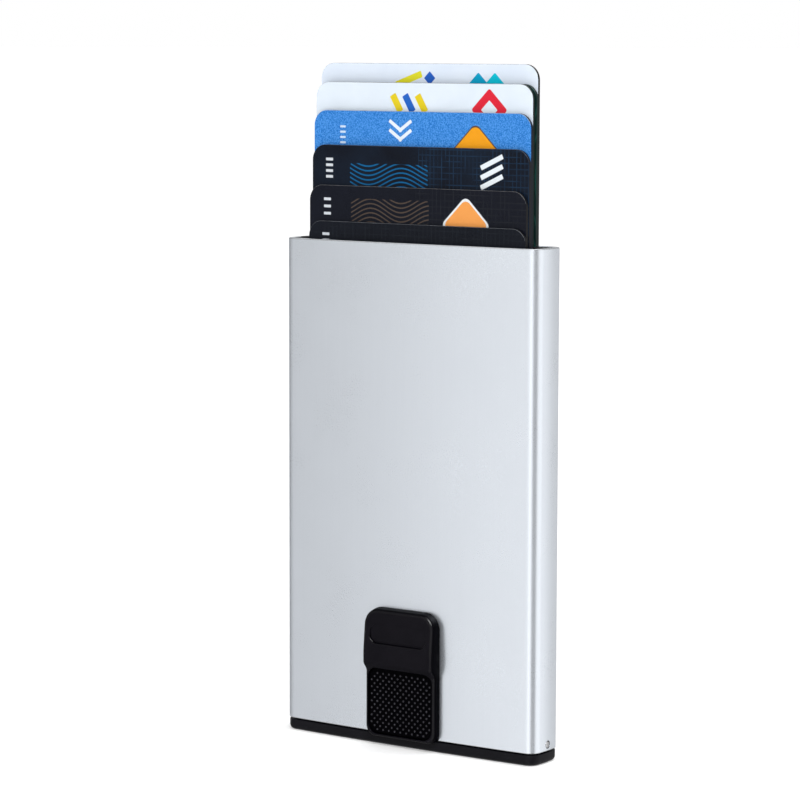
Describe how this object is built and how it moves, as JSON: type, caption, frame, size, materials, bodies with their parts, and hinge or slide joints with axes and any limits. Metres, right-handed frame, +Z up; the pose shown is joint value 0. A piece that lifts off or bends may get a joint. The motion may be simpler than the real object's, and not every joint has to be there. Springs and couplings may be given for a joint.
{
  "type": "card holder",
  "caption": "Aluminium card holder: a black thumb slider on the front turns a stepped lever that fans out the cards standing in the tube.",
  "frame": {"origin": "middle of the base cap's flat underside, where the holder stands", "axes": "+X right side seen from the front, +Y towards the back, +Z up, the way the cards leave"},
  "size_m": [0.0636, 0.0143, 0.1417],
  "materials": {
    "aluminium": "satin anodised, bright broken edges",
    "cap_plastic": "black, fine satin moulding",
    "guide_plastic": "black satin moulding",
    "slider_plastic": "black satin moulding with soft sheen",
    "grip_rubber": "black matt, staggered studs",
    "carriage_plastic": "black moulding",
    "lever_plastic": "dark grey acetal",
    "steel": "turned",
    "felt": "black wool felt",
    "card_1_print": null,
    "card_2_print": "dark green card",
    "card_3_print": null,
    "card_4_print": null,
    "card_5_print": null,
    "card_6_print": null,
    "card_7_print": null
  },
  "bodies": {
    "case": {"case_tube": "aluminium", "base_cap": "cap_plastic", "left_retaining_pin": "steel", "right_retaining_pin": "steel", "left_side_guide": "guide_plastic", "right_side_guide": "guide_plastic", "front_left_felt": "felt", "front_right_felt": "felt", "rear_left_felt": "felt", "rear_right_felt": "felt", "pivot_pin": "steel"},
    "slider": {"thumb_slider": "slider_plastic", "grip_insert": "grip_rubber", "slider_carriage": "carriage_plastic", "carriage_screw": "steel", "drive_pin": "steel"},
    "lever": {"ejector_lever": "lever_plastic"},
    "card_1": {"card_1": "card_1_print"},
    "card_2": {"card_2": "card_2_print"},
    "card_3": {"card_3": "card_3_print"},
    "card_4": {"card_4": "card_4_print"},
    "card_5": {"card_5": "card_5_print"},
    "card_6": {"card_6": "card_6_print"},
    "card_7": {"card_7": "card_7_print"}
  },
  "joints": [
    {"name": "slider_slide", "type": "slide", "parent": "case", "child": "slider", "axis": [0, 0, 1], "range_m": [0, 0.0175]},
    {"name": "lever_pivot", "type": "hinge", "parent": "case", "child": "lever", "pos_m": [-0.02633, 0, 0.0134], "axis": [0, -1, 0], "range_deg": [0, 44.97]},
    {"name": "card_1_slide", "type": "slide", "parent": "case", "child": "card_1", "axis": [0, 0, 1], "range_m": [-0.03704, 0.0411]},
    {"name": "card_2_slide", "type": "slide", "parent": "case", "child": "card_2", "axis": [0, 0, 1], "range_m": [-0.03307, 0.045]},
    {"name": "card_3_slide", "type": "slide", "parent": "case", "child": "card_3", "axis": [0, 0, 1], "range_m": [-0.03307, 0.045]},
    {"name": "card_4_slide", "type": "slide", "parent": "case", "child": "card_4", "axis": [0, 0, 1], "range_m": [-0.02722, 0.0509]},
    {"name": "card_5_slide", "type": "slide", "parent": "case", "child": "card_5", "axis": [0, 0, 1], "range_m": [-0.02004, 0.0581]},
    {"name": "card_6_slide", "type": "slide", "parent": "case", "child": "card_6", "axis": [0, 0, 1], "range_m": [-0.01167, 0.0664]},
    {"name": "card_7_slide", "type": "slide", "parent": "case", "child": "card_7", "axis": [0, 0, 1], "range_m": [-0.00422, 0.0739]}
  ],
  "couplings": [
    {"joint": "lever_pivot", "follows": "slider_slide", "rad_per_m": 44.853}
  ]
}
